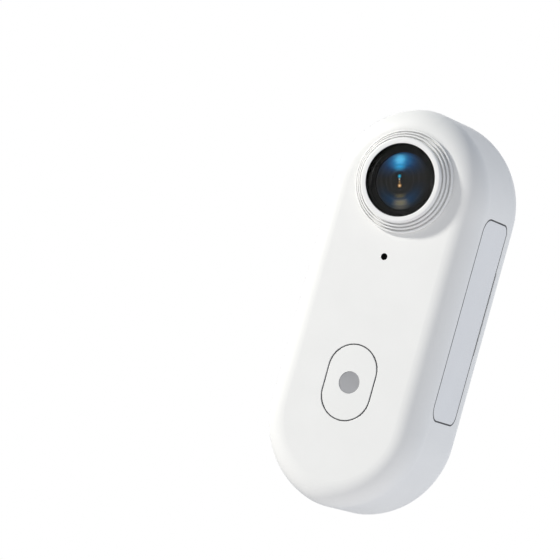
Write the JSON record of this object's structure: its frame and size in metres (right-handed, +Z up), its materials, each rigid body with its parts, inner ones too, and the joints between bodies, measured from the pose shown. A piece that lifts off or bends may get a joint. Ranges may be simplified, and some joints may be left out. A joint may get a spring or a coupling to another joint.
{
  "type": "mini action camera",
  "caption": "Thumb-sized action camera: rounded capsule body with a raised round lens guard, a shutter button, a microphone hole and a hinged cover over its ports.",
  "frame": {"origin": "middle of the flat rear face", "axes": "+Z up the long axis, +Y out of the rear face (the lens looks along -Y), +X to the side with the cover"},
  "size_m": [0.023, 0.0192, 0.0554],
  "materials": {
    "shell_white": "fine satin, warm off-white",
    "cover_grey": "fine satin, off-white",
    "guard_white": "smooth satin, off-white",
    "window_grey": "smoked grey, polished",
    "clear_plastic": "clear, polished",
    "lens_glass": "coated, polished",
    "mask_black": "printed black, smooth",
    "metal_black": "black anodised, satin",
    "plastic_black": "moulded, matt",
    "rubber_black": "soft, matt",
    "rubber_grey": "soft, matt",
    "frame_metal": "blasted",
    "tray_steel": "rolled sheet",
    "screw_steel": "blackened",
    "tin_plate": "tin plated sheet",
    "magnet_nickel": "nickel plated",
    "contact_gold": "gold plated",
    "board_green": "solder mask",
    "ribbon_amber": "polyimide film",
    "battery_foil": "laminated foil",
    "lamp_clear": "cast, clear"
  },
  "bodies": {
    "housing": {"front_shell": "shell_white", "rear_cover": "shell_white", "rear_gasket": "rubber_black", "rear_magnets": "magnet_nickel", "charging_contacts": "contact_gold", "contact_board": "board_green", "contact_flex": "ribbon_amber", "lens_collar": "plastic_black", "collar_seal": "rubber_black", "collar_gasket": "rubber_black", "lens_front_element": "lens_glass", "lens_second_element": "lens_glass", "lens_third_element": "lens_glass", "lens_fourth_element": "lens_glass", "lens_rear_element": "lens_glass", "lens_spacers": "metal_black", "lens_barrel": "metal_black", "lens_retainer": "metal_black", "lens_holder": "plastic_black", "ir_filter": "lens_glass", "image_sensor": "plastic_black", "sensor_board": "board_green", "sensor_flex": "ribbon_amber", "mic_mesh": "tray_steel", "mic_gasket": "rubber_black", "microphone": "tin_plate", "mic_board": "board_green", "button_gasket": "rubber_grey", "tact_switch": "tin_plate", "status_lamps": "lamp_clear", "cover_strap": "rubber_grey", "port_bezel": "plastic_black", "usb_socket": "tin_plate", "usb_tongue": "plastic_black", "card_socket": "tin_plate", "inner_frame": "frame_metal", "frame_screws": "screw_steel", "main_board": "board_green", "image_processor": "plastic_black", "memory_chip": "plastic_black", "shield_can": "tin_plate", "thermal_pad": "rubber_grey", "power_chips": "plastic_black", "ribbon_connectors": "plastic_black", "battery_tray": "tray_steel", "tray_screws": "screw_steel", "battery_cell": "battery_foil", "battery_lead": "ribbon_amber", "wifi_antenna": "contact_gold", "antenna_contacts": "contact_gold"},
    "lens_guard": {"lens_guard_ring": "guard_white", "guard_glass": "lens_glass", "glass_mask": "mask_black"},
    "shutter": {"shutter_button": "shell_white", "status_window": "window_grey", "button_stem": "clear_plastic", "switch_plunger": "plastic_black"},
    "port_cover": {"side_cover": "cover_grey", "cover_seal": "rubber_grey"},
    "card": {"memory_card": "plastic_black"}
  },
  "joints": [
    {"name": "shutter_press", "type": "slide", "parent": "housing", "child": "shutter", "axis": [0, 1, 0], "range_m": [0, 0.0004], "stiffness_N_per_m": 1500, "springref_m": -0.0003},
    {"name": "port_cover_hinge", "type": "hinge", "parent": "housing", "child": "port_cover", "pos_m": [0.0115, -0.01394, 0.0014], "axis": [0, 0, -1], "range_deg": [0, 110]},
    {"name": "lens_guard_pull", "type": "slide", "parent": "housing", "child": "lens_guard", "axis": [0, -1, 0], "range_m": [0, 0.006]},
    {"name": "card_push", "type": "slide", "parent": "housing", "child": "card", "axis": [-1, 0, 0], "range_m": [0, 0.0008], "stiffness_N_per_m": 800, "springref_m": -0.0003}
  ]
}
